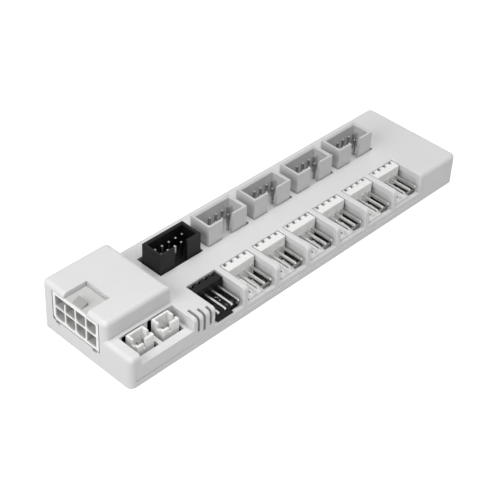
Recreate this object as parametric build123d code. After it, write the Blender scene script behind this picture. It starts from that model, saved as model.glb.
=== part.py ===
from build123d import *
import os

# Fan controller hub: origin at the bottom centre, +X to the plain end, -Y the fan side, +Z up, millimetres

# Fan bays along the front side
fan_count = 7
fan_pitch = 12.7
fan_bay_width = 10.8
fan_bay_depth = 11.6
fan_sill_rise = 0.2
sill_chamfer = 0.4
sill_width = 1.1
ledge_reach = 1.95
ledge_drop = 0.7
ledge_thickness = 1.0
panel_recess = 0.45
panel_drop = 2.0
panel_inset = 1.5
panel_corner = 1.0
mouth_chamfer = 0.25

# Moulded shell
near_zone = 30.4
far_zone = 15.5
body_width = 35.0
body_height = 10.4
wall = 1.2
roof = 1.6
corner_radius = 1.7
edge_radius = 1.4
inner_gap = 0.3
skirt_height = 1.95
skirt_step = 0.16
skirt_fade = 4.4
skirt_margin = 2.0

# Raised block over the power inlet
block_length = 22.8
block_inset = 9.7
block_rise = 6.0
block_wall = 1.4
block_edge_radius = 1.5
notch_length = 8.0
notch_width = 9.3

# Bottom cover, its locating pins and the board between them
cover_thickness = 1.2
cover_gap = 0.15
standoff_height = 0.9
standoff_diameter = 5.0
locating_diameter = 2.0
locating_length = 4.0
locating_gap = 0.1
locating_step = 2.9
locating_rear = 3.9
locating_edge = 5.6
boss_diameter = 4.6
board_thickness = 1.6
board_gap = 0.4

# Square header pins on the common grid
pin_pitch = 2.54
pin_size = 0.64
pin_point = 0.18
pin_bend_cut = 0.5

# Right-angle fan headers
fan_pins = 4
fan_body_margin = 1.29
fan_body_depth = 3.1
fan_body_drop = 0.3
first_fan_body_drop = 0.8
fan_body_gap = 0.15
fan_pin_height = 3.15
fan_pin_setback = 0.6
fan_channel_width = 1.15
fan_channel_depth = 1.0
fan_boss_radius = 1.0
fan_boss_length = 0.06
tongue_width = 5.8
tongue_setback = 0.9
first_tongue_setback = 0.25
tongue_lift = 0.3
tongue_root_height = 0.9
tongue_peak_height = 1.4
tongue_tip_height = 0.6
tongue_root_length = 2.5
tongue_catch_length = 0.5

# Shrouded box headers behind the fan bays
header_count = 5
header_pitch = 18.23
header_start = 28.5
header_inset = 19.5
header_length = 15.0
header_depth = 7.5
header_rise = 6.7
header_wall = 0.95
header_lead = 0.35
header_chamfer = 0.1
header_floor_drop = 0.8
header_columns = 5
header_rows = 2
header_pin_drop = 1.85
slot_width = 4.2
first_slot_width = 4.8
cutout_gap = 0.25
cutout_end_gap = 0.95
cutout_rear_gap = 2.0

# Power header in the raised block
power_columns = 4
power_rows = 2
power_pitch = 4.2
power_cell = 3.75
power_rim_y = 0.92
power_rim_z = 0.8
power_depth = 12.8
power_cell_depth = 10.5
power_offset = -0.95
power_roof_gap = 0.15
power_gap = 0.35
power_key_radius = 1.1
power_corner_chamfer = 1.0
power_bar_gap = 1.2
power_pin_size = 1.05
power_pin_setback = 3.0
power_tail_step = 2.2
power_bend_cut = 0.8
power_foot_width = 1.7
power_foot_drop = 0.8
latch_width = 3.6
latch_length = 2.7
latch_height = 1.25
latch_setback = 0.3

# Sensor bay with two small sockets
sensor_count = 2
sensor_pitch = 8.9
sensor_bay_start = 3.6
sensor_bay_end = 22.4
sensor_bay_depth = 8.65
sensor_floor_drop = 3.6
sensor_floor = 1.2
sensor_lip = 0.5
window_width = 7.6
window_depth = 6.0
window_undercut = 1.5
sensor_start = 8.5
sensor_inset = 5.85
sensor_length = 5.75
sensor_depth = 4.6
sensor_wall = 0.65
sensor_base = 1.5
sensor_notch_width = 1.0
sensor_notch_depth = 1.9
sensor_notch_inset = 1.2
sensor_slot_width = 0.6
sensor_slot_depth = 3.0
sensor_slot_offset = -0.35
sensor_step_drop = 1.2
sensor_pin_pitch = 2.0
sensor_pin_size = 0.5
sensor_pin_drop = 2.0

# Three grip grooves over the front edge
groove_starts = (23.7, 25.85, 28.15)
groove_lengths = (4.2, 2.9, 2.1)
groove_drops = (5.1, 5.85, 5.2)
groove_width = 0.9
groove_depth = 1.2
groove_backing = 2.4

# Places that follow from the sizes
body_length = near_zone + fan_count * fan_pitch + far_zone
near_x = -body_length / 2
far_x = body_length / 2
front_y = -body_width / 2
rear_y = body_width / 2
block_end_x = near_x + block_length
block_front_y = front_y + block_inset
block_top = body_height + block_rise
block_mid_y = (block_front_y + rear_y) / 2
board_bottom = cover_thickness + standoff_height
board_top = board_bottom + board_thickness
sill_height = board_top + fan_sill_rise
bay_back_y = front_y + fan_bay_depth
divider = fan_pitch - fan_bay_width
header_front_y = front_y + header_inset
header_top = body_height + header_rise
roof_under = body_height - roof
sensor_floor_top = body_height - sensor_floor_drop
sensor_back_y = front_y + sensor_bay_depth
power_mid_y = block_mid_y + power_offset
power_bar = power_pitch - power_cell
power_width = power_columns * power_pitch - power_bar + 2 * power_rim_y
power_height = power_rows * power_pitch - power_bar + 2 * power_rim_z
power_top = block_top - block_wall - power_roof_gap
power_bottom = power_top - power_height
locating_places = (
    (block_end_x + locating_step, rear_y - locating_rear),
    (block_end_x + locating_step, bay_back_y + locating_step),
    (near_x + near_zone + fan_count * fan_pitch / 2, (bay_back_y + header_front_y) / 2),
    (far_x - far_zone / 2, front_y + locating_edge),
    (far_x - far_zone / 2, rear_y - locating_edge),
)


def span(x0, x1, y0, y1, z0, z1):
    """Rectangular solid between two opposite corners."""
    middle = Pos((x0 + x1) / 2, (y0 + y1) / 2, (z0 + z1) / 2)
    return middle * Box(x1 - x0, y1 - y0, z1 - z0)


def rounded_slab(x0, x1, y0, y1, z0, z1, corner, edge):
    """Slab with rounded upright corners and a rolled top edge."""
    plan = Pos((x0 + x1) / 2, (y0 + y1) / 2, z0) * RectangleRounded(x1 - x0, y1 - y0, corner)
    slab = extrude(plan, z1 - z0)
    return fillet(slab.edges().group_by(Axis.Z)[-1], edge)


def eight_sided(width):
    """Regular outline of eight sides with a set width across its flats, which face the walls."""
    return RegularPolygon(width / 2, 8, major_radius=False, rotation=22.5)


def side_profile(points, x0, x1):
    """Solid between two X planes with a closed outline given as (Y, Z) points."""
    outline = make_face(Polyline(*[(0, y, z) for y, z in points], close=True))
    return Pos(x0, 0, 0) * extrude(outline, x1 - x0, dir=(1, 0, 0))


def fan_bay_left(index):
    """Left side of one fan bay."""
    return near_x + near_zone + index * fan_pitch


def fan_mid(index):
    """Middle of one fan bay along the hub."""
    return fan_bay_left(index) + fan_bay_width / 2


def header_left(index):
    """Left side of one box header."""
    return near_x + header_start + index * header_pitch


def sensor_mid(index):
    """Middle of one sensor socket along the hub."""
    return near_x + sensor_start + index * sensor_pitch


def fan_pin_x(index, pin):
    """Place of one fan pin along the hub."""
    return fan_mid(index) + (pin - (fan_pins - 1) / 2) * pin_pitch


def header_pin_places(index):
    """Pin places of one box header, with the last front place left empty."""
    mid_x = header_left(index) + header_length / 2
    mid_y = header_front_y + header_depth / 2
    places = []
    for row in range(header_rows):
        for column in range(header_columns):
            if row > 0 or column < header_columns - 1:
                x = mid_x + (column - (header_columns - 1) / 2) * pin_pitch
                y = mid_y + (row - (header_rows - 1) / 2) * pin_pitch
                places.append((x, y))
    return places


def power_cell_mid(column, row):
    """Centre of one power cell in the end face, counted from the front bottom."""
    y = power_mid_y + (column - (power_columns - 1) / 2) * power_pitch
    z = power_bottom + power_height / 2 + (row - (power_rows - 1) / 2) * power_pitch
    return y, z


def top_shell():
    """White housing: hollow body and block, then bays, bay walls, bosses and openings."""
    body = rounded_slab(near_x, far_x, front_y, rear_y, 0, body_height, corner_radius, edge_radius)
    shell = body + raised_block()

    inner_corner = corner_radius - wall
    inside = Pos(0, 0, 0) * RectangleRounded(body_length - 2 * wall, body_width - 2 * wall, inner_corner)
    shell -= extrude(inside, roof_under)
    shell -= span(
        near_x + wall, block_end_x - block_wall, block_front_y + block_wall, rear_y - wall, 0, block_top - block_wall
    )

    # Bay walls reach from the roof to just above the board
    bays_start = fan_bay_left(0) - divider
    bays_end = fan_bay_left(fan_count - 1) + fan_bay_width + divider
    wall_foot = board_top + inner_gap
    shell += span(bays_start, bays_end, front_y + wall / 2, bay_back_y, wall_foot, body_height - roof / 2)
    ledge_foot = sill_height - ledge_drop - ledge_thickness
    shell += span(bays_start, bays_end, front_y + wall / 2, front_y + ledge_reach, ledge_foot, sill_height)
    shell += span(
        near_x + sensor_bay_start - sensor_floor,
        near_x + sensor_bay_end + sensor_floor,
        front_y + wall / 2,
        sensor_back_y + sensor_floor,
        sensor_floor_top - sensor_floor,
        body_height - roof / 2,
    )
    shell += span(
        near_x + sensor_bay_end, bays_start + divider, front_y + wall / 2, front_y + groove_backing, wall_foot,
        body_height - roof / 2,
    )
    for x, y in locating_places:
        shell += Pos(x, y, board_top) * extrude(eight_sided(boss_diameter), roof_under + roof / 2 - board_top)
        socket = eight_sided(locating_diameter + 2 * locating_gap)
        shell -= Pos(x, y, board_top) * extrude(socket, locating_length - board_thickness + inner_gap)

    shell -= fan_bays()
    shell -= bay_panels()
    shell -= sensor_bay()
    shell -= header_cutouts()
    shell -= power_openings()
    shell -= grip_grooves()
    shell -= skirt_step_cut()
    return chamfer(mouth_edges(shell), mouth_chamfer)


def raised_block():
    """Block over the power inlet: rolled top edge, round corners apart from the square one towards the bays."""
    plan = Rectangle(block_length, rear_y - block_front_y)
    square_corner = plan.vertices().sort_by(Axis.X)[2:].sort_by(Axis.Y)[0]
    plan = fillet([corner for corner in plan.vertices() if corner != square_corner], corner_radius)
    block = extrude(Pos(near_x + block_length / 2, block_mid_y) * plan, block_top)
    return fillet(block.edges().group_by(Axis.Z)[-1], block_edge_radius)


def fan_bays():
    """Openings of the fan bays, open to the top and the front, with a chamfered sill that slopes down inside."""
    beyond = edge_radius
    outline = [
        (front_y - beyond, sill_height - sill_chamfer - beyond),
        (front_y + sill_chamfer, sill_height),
        (front_y + sill_width, sill_height),
        (front_y + ledge_reach, sill_height - ledge_drop),
        (bay_back_y, sill_height - ledge_drop),
        (bay_back_y, body_height + beyond),
        (front_y - beyond, body_height + beyond),
    ]
    return [
        side_profile(outline, fan_bay_left(i), fan_bay_left(i) + fan_bay_width) for i in range(fan_count)
    ]


def mouth_edges(shell):
    """Edges of the fan bays on the outer skin above the sills."""
    sides = [fan_bay_left(i) for i in range(fan_count)]
    sides += [side + fan_bay_width for side in sides]
    edges = []
    for edge in shell.edges():
        middle = edge.position_at(0.5)
        across = edge.bounding_box().size.X < cover_gap and min(abs(middle.X - side) for side in sides) < cover_gap
        skin = middle.Y < front_y + edge_radius and middle.Z > body_height - edge_radius
        skin = skin or middle.Y < front_y + cover_gap and middle.Z > sill_height
        skin = skin or middle.Y < bay_back_y and middle.Z > body_height - cover_gap
        back = abs(middle.Y - bay_back_y) < cover_gap and middle.Z > body_height - cover_gap
        if across and skin or back and edge.bounding_box().size.Y < cover_gap:
            edges.append(edge)
    return edges


def skirt_step_cut():
    """Fine step along the foot of the front side that fades out upwards."""
    outline = [
        (front_y - skirt_step, skirt_height),
        (front_y + skirt_step, skirt_height),
        (front_y, skirt_height + skirt_fade),
        (front_y - skirt_step, skirt_height + skirt_fade),
    ]
    end = fan_bay_left(fan_count - 1) + fan_bay_width + skirt_margin
    return side_profile(outline, near_x + skirt_margin, end)


def bay_panels():
    """Shallow panels in the sides of the bays, framed by the skin of the shell."""
    depth = fan_bay_depth - panel_inset
    height = body_height - panel_drop - sill_height
    panel = Rectangle(depth, height, align=(Align.MIN, Align.MIN))
    panel = fillet(panel.vertices().sort_by(Axis.X)[:2].sort_by(Axis.Y)[-1], panel_corner)
    panels = []
    for i in range(fan_count):
        left = fan_bay_left(i) - panel_recess
        place = Plane(origin=(left, front_y + panel_inset, sill_height), x_dir=(0, 1, 0), z_dir=(1, 0, 0))
        panels.append(extrude(place * panel, fan_bay_width + 2 * panel_recess))
    return panels


def sensor_bay():
    """Stepped opening for the sensor sockets, with a window below each socket."""
    beyond = edge_radius
    cuts = [
        span(
            near_x + sensor_bay_start,
            near_x + sensor_bay_end,
            front_y - beyond,
            sensor_back_y,
            sensor_floor_top,
            body_height + beyond,
        )
    ]
    window_back = sensor_back_y + window_undercut
    for i in range(sensor_count):
        left = sensor_mid(i) - window_width / 2
        cuts.append(
            span(
                left,
                left + window_width,
                sensor_back_y - window_depth,
                window_back,
                sensor_floor_top - 2 * sensor_floor,
                body_height - sensor_lip,
            )
        )
    return cuts


def header_cutouts():
    """Openings in the roof round the box headers, wider behind them and at their far ends."""
    return [
        span(
            header_left(i) - cutout_gap,
            header_left(i) + header_length + cutout_end_gap,
            header_front_y - cutout_gap,
            header_front_y + header_depth + cutout_rear_gap,
            roof_under - roof,
            body_height + roof,
        )
        for i in range(header_count)
    ]


def power_openings():
    """Aperture and pocket for the header, its two foot recesses and the latch notch in the block."""
    half = power_width / 2 + power_gap
    low = power_bottom - power_gap
    reach = near_x - wall
    deep = near_x + power_depth + power_gap
    cuts = [span(reach, deep, power_mid_y - half, power_mid_y + half, low, power_top + power_roof_gap)]
    for side in (-1, 1):
        y = power_mid_y + side * (power_width / 2 - power_foot_width)
        low_foot = low - power_foot_drop
        cuts.append(
            span(reach, near_x + 2 * wall, y - power_foot_width / 2, y + power_foot_width / 2, low_foot, low + wall)
        )
    cuts.append(
        span(
            reach,
            near_x + notch_length,
            power_mid_y - notch_width / 2,
            power_mid_y + notch_width / 2,
            power_top - power_rim_z,
            block_top + wall,
        )
    )
    return cuts


def grip_grooves():
    """Three grooves of even depth that run over the front edge between the two bays."""
    core_top = body_height - groove_depth
    core_front = front_y + groove_depth
    corner = edge_radius - groove_depth
    beyond = edge_radius
    cuts = []
    for start, length, drop in zip(groove_starts, groove_lengths, groove_drops):
        left = near_x + start
        back = front_y + length
        core_height = core_top + beyond
        core = Rectangle(back + beyond - core_front, core_height, align=(Align.MIN, Align.MAX))
        core = fillet(core.vertices().sort_by(Axis.X)[:2].sort_by(Axis.Y)[-1], corner)
        core = Plane(origin=(left, core_front, core_top), x_dir=(0, 1, 0), z_dir=(1, 0, 0)) * core
        cut = span(left, left + groove_width, front_y - beyond, back, body_height - drop, body_height + beyond)
        cuts.append(cut - extrude(core, groove_width))
    return cuts


def bottom_cover():
    """Flat cover with a standoff and a locating pin under each boss."""
    gap = 2 * (wall + cover_gap)
    corner = corner_radius - wall
    cover = extrude(RectangleRounded(body_length - gap, body_width - gap, corner), cover_thickness)
    for x, y in locating_places:
        cover += Pos(x, y, 0) * extrude(eight_sided(standoff_diameter), board_bottom)
        pin = extrude(eight_sided(locating_diameter), board_bottom + locating_length)
        cover += Pos(x, y, 0) * chamfer(pin.edges().group_by(Axis.Z)[-1], locating_diameter / 6)
    return cover


def circuit_board():
    """Board on the cover's standoffs behind the ledge of the bays, drilled for the locating pins."""
    length = body_length - 2 * (wall + board_gap)
    board_front = front_y + ledge_reach + board_gap
    board_rear = rear_y - wall - board_gap
    plan = Pos(0, (board_front + board_rear) / 2) * RectangleRounded(
        length, board_rear - board_front, corner_radius - wall
    )
    for x, y in locating_places:
        plan -= Pos(x, y) * Circle(locating_diameter / 2 + 2 * locating_gap)
    return Pos(0, 0, board_bottom) * extrude(plan, board_thickness)


def straight_pin(size, length):
    """Square upright pin with a pointed top."""
    pin = extrude(Rectangle(size, size), length)
    return chamfer(pin.edges().group_by(Axis.Z)[-1], pin_point)


def bent_pin(size, run, drop, bend):
    """Square pin that runs from its pointed tip along the first axis and then turns down, its bend cut off."""
    half = size / 2
    outline = [
        (0, half - pin_point),
        (pin_point, half),
        (run + half - bend, half),
        (run + half, half - bend),
        (run + half, -drop),
        (run - half, -drop),
        (run - half, -half),
        (pin_point, -half),
        (0, pin_point - half),
    ]
    return extrude(make_face(Polyline(*outline, close=True)), half, both=True)


def fan_header_pins(index):
    """Four contacts that point out of the bay and bend down behind the block."""
    tip_y = front_y + fan_pin_setback
    tail_y = bay_back_y - fan_body_gap - fan_channel_depth / 2
    pin = bent_pin(pin_size, tail_y - tip_y, fan_pin_height, pin_bend_cut)
    pin = Plane(origin=(0, tip_y, board_top + fan_pin_height), x_dir=(0, 1, 0), z_dir=(1, 0, 0)) * pin
    return [Pos(fan_pin_x(index, k), 0, 0) * pin for k in range(fan_pins)]


def fan_header_body(index):
    """Upright block with tail channels behind, pin bosses in front and a flat locking tongue."""
    drop = fan_body_drop if index > 0 else first_fan_body_drop
    half = ((fan_pins - 1) * pin_pitch) / 2 + fan_body_margin
    mid = fan_mid(index)
    back = bay_back_y - fan_body_gap
    front = back - fan_body_depth
    top = body_height - drop
    body = span(mid - half, mid + half, front, back, board_top, top)
    pin_z = board_top + fan_pin_height
    for k in range(fan_pins):
        x = fan_pin_x(index, k)
        boss = eight_sided(2 * fan_boss_radius)
        boss = Plane(origin=(x, front, pin_z), x_dir=(1, 0, 0), z_dir=(0, -1, 0)) * boss
        body += extrude(boss, fan_boss_length)
        channel = fan_channel_width / 2
        body -= span(x - channel, x + channel, back - fan_channel_depth, back, board_top, top)

    low = board_top + tongue_lift
    tip = front_y + (tongue_setback if index > 0 else first_tongue_setback)
    outline = [
        (front, low),
        (front, board_top + tongue_root_height),
        (front - tongue_root_length, board_top + tongue_root_height),
        (front - tongue_root_length - tongue_catch_length, board_top + tongue_peak_height),
        (tip, board_top + tongue_tip_height),
        (tip, low),
    ]
    tongue_mid = fan_pin_x(index, 1)
    body += side_profile(outline, tongue_mid - tongue_width / 2, tongue_mid + tongue_width / 2)
    return body - fan_header_pins(index)


def box_header_pins(index):
    """Straight contacts of one box header, standing on the board."""
    pin = straight_pin(pin_size, header_top - header_pin_drop - board_top)
    return [Pos(x, y, board_top) * pin for x, y in header_pin_places(index)]


def box_header_shroud(index):
    """Open-topped shroud with a lead-in round its mouth and a key slot in the front wall."""
    left = header_left(index)
    mid_x = left + header_length / 2
    mid_y = header_front_y + header_depth / 2
    floor = body_height - header_floor_drop
    outer = Rectangle(header_length, header_depth)
    mouth = Rectangle(header_length - 2 * header_wall, header_depth - 2 * header_wall)
    shroud = extrude(outer, header_top - board_top)
    well = extrude(mouth, header_top - floor)
    shroud -= Pos(0, 0, floor - board_top) * well
    rim = shroud.faces().sort_by(Axis.Z)[-1]
    shroud = chamfer(rim.inner_wires()[0].edges(), header_lead)
    rim = shroud.faces().sort_by(Axis.Z)[-1]
    shroud = chamfer(rim.outer_wire().edges(), header_chamfer)
    shroud = Pos(mid_x, mid_y, board_top) * shroud
    slot = (slot_width if index > 0 else first_slot_width) / 2
    shroud -= span(
        mid_x - slot, mid_x + slot, header_front_y - wall, mid_y, floor, header_top + wall
    )
    return shroud - box_header_pins(index)


def power_header_pins():
    """Eight contacts that bend down behind the housing, the upper row further back."""
    pins = []
    for row in range(power_rows):
        for column in range(power_columns):
            y, z = power_cell_mid(column, row)
            run = power_depth - power_pin_setback + power_tail_step * (row + 0.6)
            pin = bent_pin(power_pin_size, run, z - board_top, power_bend_cut)
            place = Plane(
                origin=(near_x + power_pin_setback, y, z), x_dir=(1, 0, 0), z_dir=(0, -1, 0)
            )
            pins.append(place * pin)
    return pins


def power_header_housing():
    """Keyed eight-way housing on two feet, with a latch ramp on its top."""
    housing = span(
        near_x,
        near_x + power_depth,
        power_mid_y - power_width / 2,
        power_mid_y + power_width / 2,
        power_bottom,
        power_top,
    )
    lower_rear = housing.edges().filter_by(Axis.X).sort_by(Axis.Z)[:2].sort_by(Axis.Y)[-1]
    housing = chamfer(lower_rear, power_corner_chamfer)

    keyed = {(0, 1), (1, 1), (1, 0), (2, 0), (3, 0)}
    for row in range(power_rows):
        for column in range(power_columns):
            y, z = power_cell_mid(column, row)
            cell = Rectangle(power_cell, power_cell)
            if (column, row) in keyed:
                cell = fillet(cell.vertices().sort_by(Axis.Y)[:2], power_key_radius)
            cell = Plane(origin=(near_x, y, z), x_dir=(0, 1, 0), z_dir=(1, 0, 0)) * cell
            housing -= extrude(cell, power_cell_depth)

    # The bar between the two rear upper cells stops short of the rim
    y, z = power_cell_mid(power_columns - 1, power_rows - 1)
    bar_y = y - power_pitch / 2
    bar_top = z + power_cell / 2
    housing -= span(
        near_x, near_x + power_cell_depth, bar_y - power_bar / 2, bar_y + power_bar / 2, bar_top - power_bar_gap, bar_top
    )

    for side in (-1, 1):
        y = power_mid_y + side * (power_width / 2 - power_foot_width)
        foot = power_foot_width / 2 - power_gap
        housing += span(near_x + 2 * wall, near_x + power_depth, y - foot, y + foot, board_top, power_bottom)

    ramp_front = near_x + latch_setback
    ramp = [
        (ramp_front, power_top),
        (ramp_front + latch_length, power_top),
        (ramp_front + latch_length, power_top + latch_height),
    ]
    ramp = make_face(Polyline(*[(x, 0, z) for x, z in ramp], close=True))
    housing += Pos(0, power_mid_y - latch_width / 2, 0) * extrude(ramp, latch_width, dir=(0, 1, 0))
    return housing - power_header_pins()


def sensor_pins(index):
    """Two upright contacts of one sensor socket."""
    pin = straight_pin(sensor_pin_size, body_height - sensor_pin_drop - board_top)
    mid_y = front_y + sensor_inset
    return [
        Pos(sensor_mid(index) + side * sensor_pin_pitch / 2, mid_y, board_top) * pin for side in (-1, 1)
    ]


def sensor_socket(index):
    """Small open-topped socket with notched ends and a slot in its front wall, which is lower on one side."""
    mid_x = sensor_mid(index)
    mid_y = front_y + sensor_inset
    front = mid_y - sensor_depth / 2
    floor = board_top + sensor_base
    socket = extrude(Rectangle(sensor_length, sensor_depth), body_height - board_top)
    well = Rectangle(sensor_length - 2 * sensor_wall, sensor_depth - 2 * sensor_wall)
    socket -= Pos(0, 0, sensor_base) * extrude(well, body_height - floor)
    socket = Pos(mid_x, mid_y, board_top) * socket
    notch = front + sensor_notch_inset
    socket -= span(
        mid_x - sensor_length,
        mid_x + sensor_length,
        notch,
        notch + sensor_notch_width,
        body_height - sensor_notch_depth,
        body_height,
    )
    slot_mid = mid_x + sensor_slot_offset
    slot = sensor_slot_width / 2
    socket -= span(
        slot_mid - slot, slot_mid + slot, front, front + sensor_wall, body_height - sensor_slot_depth, body_height
    )
    socket -= span(mid_x - sensor_length, slot_mid, front, notch, body_height - sensor_step_drop, body_height)
    return socket - sensor_pins(index)


def save(name, solids):
    """Write one node, as a group where it holds several solids."""
    shape = Compound(children=solids) if isinstance(solids, list) else solids
    export_step(shape, os.path.join("parts", name + ".step"))


def main():
    """Build every piece of the hub and write it."""
    os.makedirs("parts", exist_ok=True)
    save("top_shell", top_shell())
    save("bottom_cover", bottom_cover())
    save("circuit_board", circuit_board())
    save("power_header_housing", power_header_housing())
    save("power_header_pins", power_header_pins())
    for i in range(header_count):
        name = "signal_header" if i == 0 else "device_header_" + str(i)
        save(name + "_shroud", box_header_shroud(i))
        save(name + "_pins", box_header_pins(i))
    for i in range(fan_count):
        save("fan_header_" + str(i + 1) + "_body", fan_header_body(i))
        save("fan_header_" + str(i + 1) + "_pins", fan_header_pins(i))
    for i in range(sensor_count):
        save("sensor_socket_" + str(i + 1) + "_body", sensor_socket(i))
        save("sensor_socket_" + str(i + 1) + "_pins", sensor_pins(i))


main()
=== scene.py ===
"""White fan controller hub on a pale studio floor: finishes, printed board marks, light and camera."""
import math

import bpy
import numpy as np
from mathutils import Matrix, Vector


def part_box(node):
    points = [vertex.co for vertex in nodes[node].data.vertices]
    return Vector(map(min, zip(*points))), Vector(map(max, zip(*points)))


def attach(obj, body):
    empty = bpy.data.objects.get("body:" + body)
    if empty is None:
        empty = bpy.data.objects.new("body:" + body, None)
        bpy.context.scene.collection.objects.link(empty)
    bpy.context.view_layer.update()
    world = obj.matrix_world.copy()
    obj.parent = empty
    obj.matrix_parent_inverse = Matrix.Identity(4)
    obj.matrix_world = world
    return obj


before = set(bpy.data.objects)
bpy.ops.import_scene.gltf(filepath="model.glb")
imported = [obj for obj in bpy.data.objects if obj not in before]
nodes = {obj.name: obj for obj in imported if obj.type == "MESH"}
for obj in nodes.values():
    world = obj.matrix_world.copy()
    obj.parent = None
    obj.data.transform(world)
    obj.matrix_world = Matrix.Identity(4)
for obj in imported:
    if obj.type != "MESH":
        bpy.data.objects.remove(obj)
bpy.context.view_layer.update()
MM = 0.001

# Marks on the board: places from the middle of a bay's pins and its front, and half sides, in millimetres
LAND_SPOTS = ((2.6, 4.1), (4.72, 4.1))
LAND_HALVES = ((0.5, 0.5), (0.5, 0.5))
INK_SPOTS = ((2.75, 8.3), (3.05, 7.75), (2.75, 6.6), (4.5, 8.2))
INK_HALVES = ((0.34, 0.12), (0.12, 0.28), (0.3, 0.12), (0.25, 0.1))

# Height of a land and of an ink stroke, and how much of it is sunk in the board
LAND_HEIGHT = 0.06 * MM
INK_HEIGHT = 0.03 * MM
MARK_SINK = 0.01 * MM

# Outline of a mark: points round it, how square it is, and the share of the plan and height at each ring
MARK_STEPS = 20
MARK_ROUNDNESS = 0.3
MARK_SPREAD = (1.0, 1.0, 0.92)
MARK_CLIMB = (0.0, 0.7, 1.0)

# Power housing: height of its latch ramp, the fade of the ramp's painted shade, and the fade of the rim's
# painted light
LATCH_RISE = 1.25 * MM
LATCH_FADE = (0.03 * MM, 0.2 * MM)
RIM_FADE = (0.5 * MM, 0.08 * MM)

# Painted shade in hollows of the shell: how near walls stand in one, how open and how shut it is, and its
# fade heights
HOLLOW_REACH = 2.6 * MM
HOLLOW_OPEN = 0.85
HOLLOW_SHUT = 0.25
HOLLOW_HEIGHTS = (3.0 * MM, 5.0 * MM)

# Front panel of the shell: its end, the height of its lower edge, the skin of the front face that takes the
# hairline of painted shade along the panel's step, and that hairline's half width, run and rise
PANEL_END = 2.0 * MM
PANEL_RISE = 1.95 * MM
FACE_SKIN = (0.5 * MM, 0.3 * MM)
STEP_SHADE_HALF = 0.14 * MM
STEP_SHADE_RUN = 42.0 * MM
STEP_SHADE_RISE = 4.0 * MM

# Grey margin of the board, painted shade that stands for a shaded ledge: its fade from the front edge, and
# the length over which it starts past the first fan header
MARGIN_FADE = (1.1 * MM, 0.2 * MM)
MARGIN_START = 0.5 * MM

# Die marks: their stretch on a pin that lies along the hub, lies across it or stands up, and their depth
ALONG = (0.04, 1.0, 1.0)
ACROSS = (1.0, 0.04, 1.0)
UPRIGHT = (1.0, 1.0, 0.04)
DIE_DEPTH = 0.004 * MM
TIN_CLOUD = 900.0

# Finishes: colours as linear values of the grey shades
SHELL_WHITE = (0.73, 0.73, 0.727, 1)
SHELL_SHADE = (0.70, 0.70, 0.70, 1)
# Painted shade multiplied into the shell's hollows
PAINTED_HOLLOW_SHADE = (0.7, 0.7, 0.7, 1)
# Painted shade of the hairline along the front panel's step
PAINTED_STEP_SHADE = (0.6, 0.6, 0.6, 1)
NYLON_WHITE = (0.88, 0.88, 0.87, 1)
NYLON_WHITE_SHADE = (0.84, 0.84, 0.83, 1)
NATURAL_WHITE = (0.57, 0.57, 0.56, 1)
NATURAL_SHADE = (0.53, 0.53, 0.52, 1)
# Power housing: painted shade on the latch ramp, and painted light on the rim of its face
PAINTED_RAMP_SHADE = (0.62, 0.62, 0.62, 1)
PAINTED_RIM_LIGHT = (0.92, 0.92, 0.91, 1)
NYLON_GREY = (0.61, 0.61, 0.61, 1)
NYLON_GREY_SHADE = (0.56, 0.56, 0.565, 1)
NYLON_BLACK = (0.004, 0.004, 0.0043, 1)
NYLON_BLACK_SHADE = (0.008, 0.008, 0.0084, 1)
MASK_BLACK = (0.005, 0.005, 0.0055, 1)
MASK_SHADE = (0.011, 0.011, 0.012, 1)
# Painted shade of a ledge, laid on the board's front margin
PAINTED_LEDGE_SHADE = (0.34, 0.34, 0.335, 1)
TIN = (0.68, 0.68, 0.67, 1)
TIN_SHADE = (0.54, 0.54, 0.53, 1)
OLD_TIN = (0.52, 0.52, 0.51, 1)
OLD_TIN_SHADE = (0.40, 0.40, 0.39, 1)
LAND_GREY = (0.15, 0.15, 0.15, 1)
LAND_SHADE = (0.10, 0.10, 0.10, 1)
INK_WHITE = (0.78, 0.78, 0.77, 1)
INK_SHADE = (0.60, 0.60, 0.59, 1)
PAPER = (0.61, 0.61, 0.61, 1)
PAPER_SHADE = (0.63, 0.63, 0.63, 1)
WHITE = (1, 1, 1, 1)

# Floor: half its side and its drop below the hub, then the distances between which its glow grows to white
FLOOR_HALF = 1.5
FLOOR_DROP = 0.02 * MM
GLOW_REACH = (0.12, 0.4)
GLOW_NEAR = 0.7
GLOW_FAR = 1.0

# Light: the room's level, then each lamp's name, place, side, power and whether glossy skins mirror it
ROOM_LIGHT = 0.15
LAMPS = (
    ("softbox_left", (-0.42, 0.0, 0.26), 0.3, 1.24, False),
    ("softbox_front", (0.0, -0.57, 0.82), 0.6, 3.0, True),
    ("softbox_above", (0.0, -0.03, 1.0), 0.6, 3.8, True),
    ("softbox_rear", (0.74, 0.66, 0.11), 0.2, 1.1, False),
)

# View of the photograph: turn, rise and roll in degrees, a point on the hub, the way from it to the lens
# along the picture's right, up and back, and the lens itself, in millimetres
VIEW_TURN = -47.667
VIEW_RISE = 39.277
VIEW_ROLL = 3.079
VIEW_MARK = (-37.0, -5.9, 10.4)
VIEW_RIGHT = 17.281
VIEW_UP = 9.776
VIEW_BACK = 365.384
FOCAL_LENGTH = 97.558
SENSOR_WIDTH = 36.0


def add(tree, kind, place, **values):
    """Puts one node into a tree; each value sets the property of that name or, without one, the input."""
    made = tree.nodes.new(kind)
    made.location = place
    for key, value in values.items():
        if hasattr(made, key):
            setattr(made, key, value)
        else:
            made.inputs[key.replace("_", " ")].default_value = value
    return made


def found(tree, kind):
    """The first node of a kind in a tree."""
    return next(node for node in tree.nodes if node.type == kind)


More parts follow.
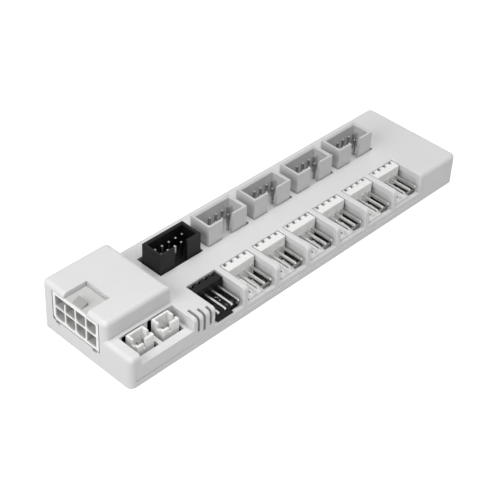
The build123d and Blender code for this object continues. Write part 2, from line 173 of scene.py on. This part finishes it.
def group(name, inputs, outputs):
    """Starts a shared effect: a node group with named input and output sockets."""
    tree = bpy.data.node_groups.new(name, "ShaderNodeTree")
    for label, kind, value in inputs:
        socket = tree.interface.new_socket(label, in_out="INPUT", socket_type=kind)
        if value is not None:
            socket.default_value = value
    for label, kind in outputs:
        tree.interface.new_socket(label, in_out="OUTPUT", socket_type=kind)
    entry = add(tree, "NodeGroupInput", (-900, 0))
    leave = add(tree, "NodeGroupOutput", (700, 0))
    return tree, entry.outputs, leave.inputs


def moulding_grain():
    """Spark-eroded mould grain: fine noise for the relief, with a slow cloud of gloss over it."""
    cloud_to_grain = 0.02
    grain_in_gloss = 0.35
    gloss_span = (0.35, 1.0)
    tree, given, result = group(
        "moulding_grain",
        [("Place", "NodeSocketVector", None), ("Grain", "NodeSocketFloat", 5200.0),
         ("Dull", "NodeSocketFloat", 0.55), ("Shiny", "NodeSocketFloat", 0.45)],
        [("Relief", "NodeSocketFloat"), ("Gloss", "NodeSocketFloat")],
    )
    fine = add(tree, "ShaderNodeTexNoise", (-600, 250), Detail=3.0, Roughness=0.6)
    slow = add(tree, "ShaderNodeTexNoise", (-600, -50), Detail=2.0, Roughness=0.5)
    slow_scale = add(tree, "ShaderNodeMath", (-760, -120), operation="MULTIPLY")
    slow_scale.inputs[1].default_value = cloud_to_grain
    blend = add(tree, "ShaderNodeMath", (-300, -50), operation="MULTIPLY_ADD")
    blend.inputs[1].default_value = grain_in_gloss
    gloss = add(tree, "ShaderNodeMapRange", (200, -50), From_Min=gloss_span[0], From_Max=gloss_span[1])
    link = tree.links.new
    link(given["Place"], fine.inputs["Vector"])
    link(given["Place"], slow.inputs["Vector"])
    link(given["Grain"], fine.inputs["Scale"])
    link(given["Grain"], slow_scale.inputs[0])
    link(slow_scale.outputs[0], slow.inputs["Scale"])
    link(fine.outputs["Fac"], blend.inputs[0])
    link(slow.outputs["Fac"], blend.inputs[2])
    link(blend.outputs[0], gloss.inputs["Value"])
    link(given["Shiny"], gloss.inputs["To Min"])
    link(given["Dull"], gloss.inputs["To Max"])
    link(fine.outputs["Fac"], result["Relief"])
    link(gloss.outputs["Result"], result["Gloss"])
    return tree


def tone_drift():
    """Two close shades mixed by a slow cloud and a little fine speckle, as moulded pigment settles."""
    speckle_in_tone = 0.3
    tone_span = (0.45, 0.9)
    tree, given, result = group(
        "tone_drift",
        [("Place", "NodeSocketVector", None), ("Cloud", "NodeSocketFloat", 60.0),
         ("Speckle", "NodeSocketFloat", 3000.0), ("Base", "NodeSocketColor", None),
         ("Shade", "NodeSocketColor", None)],
        [("Tone", "NodeSocketColor")],
    )
    cloud = add(tree, "ShaderNodeTexNoise", (-600, 200), Detail=3.0, Roughness=0.55)
    speckle = add(tree, "ShaderNodeTexNoise", (-600, -100), Detail=1.0)
    sum_up = add(tree, "ShaderNodeMath", (-350, 100), operation="MULTIPLY_ADD")
    sum_up.inputs[1].default_value = speckle_in_tone
    spread = add(tree, "ShaderNodeMapRange", (-150, 100), From_Min=tone_span[0], From_Max=tone_span[1])
    mix = add(tree, "ShaderNodeMix", (200, 100), data_type="RGBA")
    link = tree.links.new
    link(given["Place"], cloud.inputs["Vector"])
    link(given["Place"], speckle.inputs["Vector"])
    link(given["Cloud"], cloud.inputs["Scale"])
    link(given["Speckle"], speckle.inputs["Scale"])
    link(speckle.outputs["Fac"], sum_up.inputs[0])
    link(cloud.outputs["Fac"], sum_up.inputs[2])
    link(sum_up.outputs[0], spread.inputs["Value"])
    link(spread.outputs["Result"], mix.inputs["Factor"])
    link(given["Base"], mix.inputs["A"])
    link(given["Shade"], mix.inputs["B"])
    link(mix.outputs["Result"], result["Tone"])
    return tree


def drawn_wire():
    """Marks of a drawing die: noise stretched along one axis, for relief and gloss."""
    gloss_span = (0.3, 0.7)
    tree, given, result = group(
        "drawn_wire",
        [("Place", "NodeSocketVector", None), ("Dull", "NodeSocketFloat", 0.38),
         ("Shiny", "NodeSocketFloat", 0.2)],
        [("Relief", "NodeSocketFloat"), ("Gloss", "NodeSocketFloat")],
    )
    streak = add(tree, "ShaderNodeTexNoise", (-500, 100), Scale=9000.0, Detail=2.0)
    gloss = add(tree, "ShaderNodeMapRange", (100, -50), From_Min=gloss_span[0], From_Max=gloss_span[1])
    link = tree.links.new
    link(given["Place"], streak.inputs["Vector"])
    link(streak.outputs["Fac"], gloss.inputs["Value"])
    link(given["Shiny"], gloss.inputs["To Min"])
    link(given["Dull"], gloss.inputs["To Max"])
    link(streak.outputs["Fac"], result["Relief"])
    link(gloss.outputs["Result"], result["Gloss"])
    return tree


GRAIN = moulding_grain()
DRIFT = tone_drift()
WIRE = drawn_wire()


def start_material(name):
    """Empty material with a Principled shader and Object coordinates."""
    made = bpy.data.materials.new(name)
    made.use_nodes = True
    tree = made.node_tree
    tree.nodes.clear()
    out = add(tree, "ShaderNodeOutputMaterial", (900, 0))
    shader = add(tree, "ShaderNodeBsdfPrincipled", (600, 0))
    place = add(tree, "ShaderNodeTexCoord", (-900, 0))
    tree.links.new(shader.outputs[0], out.inputs["Surface"])
    return made, tree, shader, place.outputs["Object"]


def drifting(tree, place, base, shade, cloud):
    """Colour of a finish: a base and its shade in the shared drift of tone."""
    tone = add(tree, "ShaderNodeGroup", (-300, 200), node_tree=DRIFT, Cloud=cloud, Base=base, Shade=shade)
    tree.links.new(place, tone.inputs["Place"])
    return tone.outputs["Tone"]


def grained(tree, place, grain, dull, shiny):
    """Relief and gloss of a skin in the shared mould grain."""
    skin = add(tree, "ShaderNodeGroup", (-300, -150), node_tree=GRAIN, Grain=grain, Dull=dull, Shiny=shiny)
    tree.links.new(place, skin.inputs["Place"])
    return skin.outputs["Relief"], skin.outputs["Gloss"]


def relief(tree, shader, height, depth, strength):
    """Bump of a set depth in metres on the shader's normal."""
    bump = add(tree, "ShaderNodeBump", (350, -300), Strength=strength, Distance=depth)
    tree.links.new(height, bump.inputs["Height"])
    tree.links.new(bump.outputs["Normal"], shader.inputs["Normal"])


def axes_of(tree):
    """The three Object coordinates of a material: along the hub, across it and up."""
    axes = add(tree, "ShaderNodeSeparateXYZ", (-900, 800))
    tree.links.new(found(tree, "TEX_COORD").outputs["Object"], axes.inputs[0])
    return axes.outputs["X"], axes.outputs["Y"], axes.outputs["Z"]


def band(tree, value, start, end, place, low=0.0, high=1.0):
    """Smooth mask that goes from low to high as a value goes from start to end."""
    step = add(tree, "ShaderNodeMapRange", place, interpolation_type="SMOOTHSTEP",
               From_Min=start, From_Max=end, To_Min=low, To_Max=high)
    tree.links.new(value, step.inputs["Value"])
    return step.outputs["Result"]


def line(tree, value, middle, half, place):
    """Mask of a thin line: 1 where a coordinate is at its middle, 0 from half its width outwards."""
    away = add(tree, "ShaderNodeMath", place, operation="SUBTRACT")
    away.inputs[1].default_value = middle
    size = add(tree, "ShaderNodeMath", (place[0] + 100, place[1]), operation="ABSOLUTE")
    tree.links.new(value, away.inputs[0])
    tree.links.new(away.outputs[0], size.inputs[0])
    return band(tree, size.outputs[0], half, 0.0, (place[0] + 200, place[1]))


def joined(tree, operation, first, second, place):
    """Two values joined by one operation of a Math node."""
    both = add(tree, "ShaderNodeMath", place, operation=operation)
    tree.links.new(first, both.inputs[0])
    tree.links.new(second, both.inputs[1])
    return both.outputs[0]


def tinted(tree, mask, tone, shade, place, blend="MIX"):
    """A tone that becomes a shade, or the product of both, where a mask is 1."""
    mix = add(tree, "ShaderNodeMix", place, data_type="RGBA", blend_type=blend)
    mix.inputs["B"].default_value = shade
    tree.links.new(mask, mix.inputs["Factor"])
    tree.links.new(tone, mix.inputs["A"])
    return mix.outputs["Result"]


def moulded(name, base, shade, grain, dull, shiny, depth, cloud=60.0, level=0.5):
    """Injection-moulded plastic: drifting tone, mould grain and its gloss."""
    made, tree, shader, place = start_material(name)
    height, gloss = grained(tree, place, grain, dull, shiny)
    tree.links.new(drifting(tree, place, base, shade, cloud), shader.inputs["Base Color"])
    tree.links.new(gloss, shader.inputs["Roughness"])
    shader.inputs["Specular IOR Level"].default_value = level
    relief(tree, shader, height, depth, strength=0.5)
    return made


def milky(made, weight, depth):
    """Lets light wander a set depth inside a pale plastic."""
    shader = found(made.node_tree, "BSDF_PRINCIPLED")
    shader.inputs["Subsurface Weight"].default_value = weight
    shader.inputs["Subsurface Radius"].default_value = (1, 1, 1)
    shader.inputs["Subsurface Scale"].default_value = depth


def painted_step_shade_mask(tree, along, across, up):
    """Mask of the painted shade along the panel's step in the front face: one hairline runs along the panel's
    lower edge, one climbs its near end, and both fade out away from the corner where they meet."""
    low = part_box("top_shell")[0]
    start = low[0] + PANEL_END
    level = line(tree, up, PANEL_RISE, STEP_SHADE_HALF, (-900, 1050))
    begun = band(tree, along, start, start + STEP_SHADE_HALF, (-500, 1050))
    fading = band(tree, along, start + STEP_SHADE_RUN, start, (-500, 900))
    run = joined(tree, "MULTIPLY", level, begun, (-300, 1050))
    run = joined(tree, "MULTIPLY", run, fading, (-150, 1050))
    end = line(tree, along, start, STEP_SHADE_HALF, (-900, 900))
    begun = band(tree, up, PANEL_RISE - STEP_SHADE_HALF, PANEL_RISE, (-500, 750))
    fading = band(tree, up, PANEL_RISE + STEP_SHADE_RISE, PANEL_RISE, (-500, 300))
    rise = joined(tree, "MULTIPLY", end, begun, (-300, 900))
    rise = joined(tree, "MULTIPLY", rise, fading, (-150, 900))
    face = band(tree, across, low[1] + FACE_SKIN[0], low[1] + FACE_SKIN[1], (-500, 1200))
    corner = joined(tree, "MAXIMUM", run, rise, (0, 950))
    return joined(tree, "MULTIPLY", corner, face, (100, 850))


def shell_moulding():
    """White shell: satin moulding with painted shade in narrow hollows of the upper side, and a dark hairline
    of painted shade along the step round the near end of the front panel."""
    made = moulded("shell_white_satin", SHELL_WHITE, SHELL_SHADE,
                   grain=5200.0, dull=0.56, shiny=0.44, depth=0.012 * MM)
    tree = made.node_tree
    shader = found(tree, "BSDF_PRINCIPLED")
    tone = shader.inputs["Base Color"].links[0].from_socket
    along, across, up = axes_of(tree)
    # Painted shade: ambient occlusion darkens the tone in hollows of the upper side
    hollow = add(tree, "ShaderNodeAmbientOcclusion", (-700, 600), samples=8, Distance=HOLLOW_REACH)
    depth = band(tree, hollow.outputs["AO"], HOLLOW_OPEN, HOLLOW_SHUT, (-500, 600))
    upper = band(tree, up, *HOLLOW_HEIGHTS, (-500, 450))
    hollow_shade_mask = joined(tree, "MULTIPLY", depth, upper, (-150, 600))
    # Painted shade: a dark hairline along the front panel's step, fading away from its corner
    step_shade = painted_step_shade_mask(tree, along, across, up)
    tone = tinted(tree, hollow_shade_mask, tone, PAINTED_HOLLOW_SHADE, (150, 500), "MULTIPLY")
    tone = tinted(tree, step_shade, tone, PAINTED_STEP_SHADE, (350, 500), "MULTIPLY")
    tree.links.new(tone, shader.inputs["Base Color"])
    return made


def tinned(name, base, shade, stretch, dull, shiny):
    """Tin-plated contact: metal with die marks along the wire, duller where the tin lies thick."""
    made, tree, shader, place = start_material(name)
    along = add(tree, "ShaderNodeMapping", (-650, -150))
    along.inputs["Scale"].default_value = stretch
    wire = add(tree, "ShaderNodeGroup", (-300, -150), node_tree=WIRE, Dull=dull, Shiny=shiny)
    shader.inputs["Metallic"].default_value = 1.0
    link = tree.links.new
    link(place, along.inputs["Vector"])
    link(along.outputs["Vector"], wire.inputs["Place"])
    link(drifting(tree, place, base, shade, TIN_CLOUD), shader.inputs["Base Color"])
    link(wire.outputs["Gloss"], shader.inputs["Roughness"])
    relief(tree, shader, wire.outputs["Relief"], DIE_DEPTH, strength=0.6)
    return made


def housing_nylon():
    """Natural nylon of the power housing: painted light along the thin rim and bars of its face, greyer
    behind them with its own grey tone and painted shade in the cells together, and more painted shade on the
    latch ramp, measured from the housing's face and its top."""
    made = moulded("nylon_natural", NATURAL_WHITE, NATURAL_SHADE,
                   grain=4200.0, dull=0.45, shiny=0.34, depth=0.006 * MM, cloud=140.0)
    tree = made.node_tree
    shader = found(tree, "BSDF_PRINCIPLED")
    tone = shader.inputs["Base Color"].links[0].from_socket
    low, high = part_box("power_header_housing")
    roof = high[2] - LATCH_RISE
    along, _, up = axes_of(tree)
    above = band(tree, up, roof + LATCH_FADE[0], roof + LATCH_FADE[1], (-400, 400))
    rim_light_mask = band(tree, along, low[0] + RIM_FADE[0], low[0] + RIM_FADE[1], (-400, 800))
    # Painted shade on the latch ramp, then painted light on the rim of the face
    tone = tinted(tree, above, tone, PAINTED_RAMP_SHADE, (100, 350), "MULTIPLY")
    tone = tinted(tree, rim_light_mask, tone, PAINTED_RIM_LIGHT, (300, 350))
    tree.links.new(tone, shader.inputs["Base Color"])
    return made


def solder_mask():
    """Black solder mask over woven glass: crossed threads show as faint relief and copper lands as slow
    swells, with a grey margin of painted shade along the front edge past the first fan header, standing for a
    shaded ledge."""
    threads = 420.0
    weave_in_relief = 0.6
    made, tree, shader, place = start_material("black_solder_mask")
    gloss = grained(tree, place, grain=2500.0, dull=0.5, shiny=0.32)[1]
    warp = add(tree, "ShaderNodeTexWave", (-500, -150), Scale=threads, bands_direction="X")
    weft = add(tree, "ShaderNodeTexWave", (-500, -400), Scale=threads, bands_direction="Y")
    land = add(tree, "ShaderNodeTexVoronoi", (-500, -650), feature="F1", distance="CHEBYCHEV", Scale=threads)
    weave = joined(tree, "MULTIPLY", warp.outputs["Fac"], weft.outputs["Fac"], (-250, -250))
    total = add(tree, "ShaderNodeMath", (50, -350), operation="MULTIPLY_ADD")
    total.inputs[1].default_value = weave_in_relief
    link = tree.links.new
    for user in (warp, weft, land):
        link(place, user.inputs["Vector"])
    link(weave, total.inputs[0])
    link(land.outputs["Distance"], total.inputs[2])
    link(gloss, shader.inputs["Roughness"])
    relief(tree, shader, total.outputs[0], depth=0.02 * MM, strength=0.4)
    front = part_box("circuit_board")[0][1]
    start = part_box("fan_header_1_body")[1][0]
    along, across, _ = axes_of(tree)
    # Painted shade: a grey band along the board's front edge past the first fan header
    edge = band(tree, across, front + MARGIN_FADE[0], front + MARGIN_FADE[1], (-400, 800))
    past = band(tree, along, start, start + MARGIN_START, (-400, 600))
    ledge_shade_mask = joined(tree, "MULTIPLY", edge, past, (-150, 700))
    tone = drifting(tree, place, MASK_BLACK, MASK_SHADE, cloud=350.0)
    link(tinted(tree, ledge_shade_mask, tone, PAINTED_LEDGE_SHADE, (100, 500)), shader.inputs["Base Color"])
    return made


shell_finish = shell_moulding()
white_finish = moulded("nylon_white", NYLON_WHITE, NYLON_WHITE_SHADE,
                       grain=4200.0, dull=0.42, shiny=0.30, depth=0.006 * MM, cloud=140.0)
milky(white_finish, weight=0.5, depth=0.7 * MM)
grey_finish = moulded("nylon_grey", NYLON_GREY, NYLON_GREY_SHADE,
                      grain=4600.0, dull=0.48, shiny=0.38, depth=0.008 * MM, cloud=140.0)
black_finish = moulded("nylon_black", NYLON_BLACK, NYLON_BLACK_SHADE,
                       grain=4600.0, dull=0.52, shiny=0.40, depth=0.008 * MM, cloud=140.0, level=0.22)
housing_finish = housing_nylon()
board_finish = solder_mask()
fan_pin_finish = tinned("tinned_fan_pin", TIN, TIN_SHADE, ACROSS, dull=0.4, shiny=0.24)
header_pin_finish = tinned("tinned_header_pin", OLD_TIN, OLD_TIN_SHADE, UPRIGHT, dull=0.26, shiny=0.13)
power_pin_finish = tinned("tinned_power_contact", TIN, TIN_SHADE, ALONG, dull=0.4, shiny=0.25)
land_finish = moulded("dull_solder_land", LAND_GREY, LAND_SHADE,
                      grain=3000.0, dull=0.55, shiny=0.4, depth=0.01 * MM, cloud=700.0)
ink_finish = moulded("legend_ink_white", INK_WHITE, INK_SHADE,
                     grain=3000.0, dull=0.7, shiny=0.55, depth=0.004 * MM, cloud=900.0, level=0.3)


def finish_of(name):
    """Finish of one node by its place in the hub."""
    if name in ("top_shell", "bottom_cover"):
        return shell_finish
    if name == "circuit_board":
        return board_finish
    if name == "power_header_housing":
        return housing_finish
    if name == "power_header_pins":
        return power_pin_finish
    if name.endswith("_pins"):
        return fan_pin_finish if name.startswith("fan") else header_pin_finish
    if name in ("signal_header_shroud", "fan_header_1_body"):
        return black_finish
    if name.startswith("device_header"):
        return grey_finish
    return white_finish


for name, piece in nodes.items():
    piece.data.materials.clear()
    piece.data.materials.append(finish_of(name))


def low_marks(name, centres, halves, rise, finish):
    """Flat marks lying on the board, each a closed low pillow with a rounded rectangular plan.

    At turn t a ring stands at (a sgn(cos t) |cos t|^q, b sgn(sin t) |sin t|^q) round the mark's centre,
    with the half sides a and b and the roundness q; three rings climb from the foot over the shoulder to the
    flat top, and both ends close in a point at the centre."""
    turn = np.linspace(0, 2 * np.pi, MARK_STEPS, endpoint=False)
    plan = np.stack([np.cos(turn), np.sin(turn)], 1)
    plan = np.sign(plan) * np.abs(plan) ** MARK_ROUNDNESS
    spread = np.array(MARK_SPREAD)
    climb = np.array(MARK_CLIMB) * rise
    rings, steps, count = len(spread), len(turn), len(centres)
    points = np.empty((count, rings, steps, 3))
    flat = spread[None, :, None, None] * plan[None, None] * halves[:, None, None]
    points[..., :2] = centres[:, None, None, :2] + flat
    points[..., 2] = centres[:, None, None, 2] + climb[None, :, None]
    tops = centres + np.array([0, 0, rise])
    vertices = np.concatenate([points.reshape(count, -1, 3), centres[:, None], tops[:, None]], 1)
    start = (np.arange(count) * (rings * steps + 2))[:, None]
    here = np.arange(steps)
    after = (here + 1) % steps
    sides = [np.stack([start + k * steps + here, start + k * steps + after,
                       start + (k + 1) * steps + after, start + (k + 1) * steps + here], 2)
             for k in range(rings - 1)]
    last = start + (rings - 1) * steps
    foot_point = np.broadcast_to(start + rings * steps, (count, steps))
    below = np.stack([start + after, start + here, foot_point], 2)
    above = np.stack([last + here, last + after, foot_point + 1], 2)
    faces = np.concatenate(sides, 1).reshape(-1, 4).tolist()
    faces += below.reshape(-1, 3).tolist() + above.reshape(-1, 3).tolist()
    mesh = bpy.data.meshes.new(name)
    mesh.from_pydata(vertices.reshape(-1, 3).tolist(), [], faces)
    mesh.materials.append(finish)
    piece = bpy.data.objects.new(name, mesh)
    bpy.context.scene.collection.objects.link(piece)
    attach(piece, "root")
    return piece


def board_marks():
    """Solder lands and short ink strokes on the board in every fan bay, set out from the bay's pins."""
    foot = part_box("circuit_board")[1][2] - MARK_SINK
    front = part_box("top_shell")[0][1]
    pins = [name for name in sorted(nodes) if name.startswith("fan") and name.endswith("pins")]
    boxes = [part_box(name) for name in pins]
    middles = np.array([(low[0] + high[0]) / 2 for low, high in boxes])
    bay = np.stack([middles, np.full_like(middles, front), np.full_like(middles, foot)], 1)
    for name, spots, sizes, rise, finish, slot in (
        ("board_lands", LAND_SPOTS, LAND_HALVES, LAND_HEIGHT, land_finish, "pin_metal"),
        ("board_ink", INK_SPOTS, INK_HALVES, INK_HEIGHT, ink_finish, "header_white"),
    ):
        spots = np.array(spots) * MM
        shifts = np.concatenate([spots, np.zeros((len(spots), 1))], 1)
        centres = (bay[:, None] + shifts[None]).reshape(-1, 3)
        halves = np.tile(np.array(sizes) * MM, (len(bay), 1))
        low_marks(name, centres, halves, rise, finish)


def shown_rays(tree, place):
    """Mask of the rays that show a background: from the lens, from a mirroring skin or through glass."""
    rays = add(tree, "ShaderNodeLightPath", place)
    lens = rays.outputs["Is Camera Ray"]
    mirror = rays.outputs["Is Glossy Ray"]
    glass = rays.outputs["Is Transmission Ray"]
    seen = joined(tree, "MAXIMUM", lens, mirror, (place[0] + 250, place[1]))
    return joined(tree, "MAXIMUM", seen, glass, (place[0] + 450, place[1]))


def studio_floor():
    """Flat square below the hub: x and y run from minus to plus half its side at one height. It is white to
    the lens and to reflections, and near the hub it keeps the hub's shadow."""
    reach = np.array([-FLOOR_HALF, FLOOR_HALF])
    x, y = np.meshgrid(reach, reach, indexing="ij")
    points = np.stack([x, y, np.full_like(x, -FLOOR_DROP)], 2).reshape(-1, 3)
    mesh = bpy.data.meshes.new("studio_floor")
    mesh.from_pydata(points.tolist(), [], [(0, 2, 3, 1)])
    floor = bpy.data.objects.new("studio_floor", mesh)
    bpy.context.scene.collection.objects.link(floor)
    made, tree, shader, place = start_material("floor_paper")
    shader.inputs["Roughness"].default_value = 0.9
    shader.inputs["Specular IOR Level"].default_value = 0.1
    cloud = add(tree, "ShaderNodeTexNoise", (-600, 200), Scale=8.0)
    paper = add(tree, "ShaderNodeMix", (-300, 200), data_type="RGBA")
    paper.inputs["A"].default_value = PAPER
    paper.inputs["B"].default_value = PAPER_SHADE
    away = add(tree, "ShaderNodeVectorMath", (-600, -550), operation="LENGTH")
    level = band(tree, away.outputs["Value"], *GLOW_REACH, (-350, -550), GLOW_NEAR, GLOW_FAR)
    glow = joined(tree, "MULTIPLY", shown_rays(tree, (-600, -300)), level, (50, -300))
    light = add(tree, "ShaderNodeEmission", (300, -300))
    both = add(tree, "ShaderNodeAddShader", (700, -200))
    link = tree.links.new
    link(place, cloud.inputs["Vector"])
    link(cloud.outputs["Fac"], paper.inputs["Factor"])
    link(paper.outputs["Result"], shader.inputs["Base Color"])
    link(place, away.inputs[0])
    link(glow, light.inputs["Strength"])
    link(shader.outputs[0], both.inputs[0])
    link(light.outputs[0], both.inputs[1])
    link(both.outputs[0], found(tree, "OUTPUT_MATERIAL").inputs["Surface"])
    mesh.materials.append(made)


def studio_world():
    """White to the lens and to reflections, an even dim room to everything else."""
    world = bpy.data.worlds.new("studio_world")
    bpy.context.scene.world = world
    world.use_nodes = True
    tree = world.node_tree
    tree.nodes.clear()
    out = add(tree, "ShaderNodeOutputWorld", (600, 0))
    room = add(tree, "ShaderNodeBackground", (100, 150), Color=WHITE, Strength=ROOM_LIGHT)
    sheet = add(tree, "ShaderNodeBackground", (100, -50), Color=WHITE)
    choose = add(tree, "ShaderNodeMixShader", (350, 0))
    link = tree.links.new
    link(shown_rays(tree, (-500, 300)), choose.inputs[0])
    link(room.outputs[0], choose.inputs[1])
    link(sheet.outputs[0], choose.inputs[2])
    link(choose.outputs[0], out.inputs["Surface"])


def softbox(name, place, side, power, mirrored):
    """Square area lamp turned to the hub and not seen by the lens itself. The low lamps aren't mirrored in
    glossy skins either, so that they don't burn out a pale top at a flat view."""
    lamp = bpy.data.lights.new(name, "AREA")
    lamp.shape = "SQUARE"
    lamp.size = side
    lamp.energy = power
    box = bpy.data.objects.new(name, lamp)
    box.location = place
    box.rotation_euler = (-Vector(place)).to_track_quat("-Z", "Y").to_euler()
    box.visible_camera = False
    box.visible_glossy = mirrored
    bpy.context.scene.collection.objects.link(box)


def studio_camera():
    """Lens at the photograph's view: turn, rise and roll of the view, then the place along it."""
    turn, rise, roll = (math.radians(angle) for angle in (VIEW_TURN, VIEW_RISE, VIEW_ROLL))
    back = Vector((math.sin(turn) * math.cos(rise), -math.cos(turn) * math.cos(rise), math.sin(rise)))
    flat = Vector((math.cos(turn), math.sin(turn), 0))
    tall = back.cross(flat)
    right = flat * math.cos(roll) + tall * math.sin(roll)
    up = tall * math.cos(roll) - flat * math.sin(roll)
    place = (Vector(VIEW_MARK) + right * VIEW_RIGHT + up * VIEW_UP + back * VIEW_BACK) * MM
    lens = bpy.data.cameras.new("studio_camera")
    lens.sensor_width = SENSOR_WIDTH
    lens.lens = FOCAL_LENGTH
    lens.clip_start = 0.01
    lens.clip_end = 10.0
    camera = bpy.data.objects.new("studio_camera", lens)
    turned = Matrix((right, up, back)).transposed()
    camera.matrix_world = Matrix.Translation(place) @ turned.to_4x4()
    bpy.context.scene.collection.objects.link(camera)
    bpy.context.scene.camera = camera


board_marks()
studio_floor()
studio_world()
for lamp in LAMPS:
    softbox(*lamp)
studio_camera()

scene = bpy.context.scene
scene.view_settings.view_transform = "Standard"
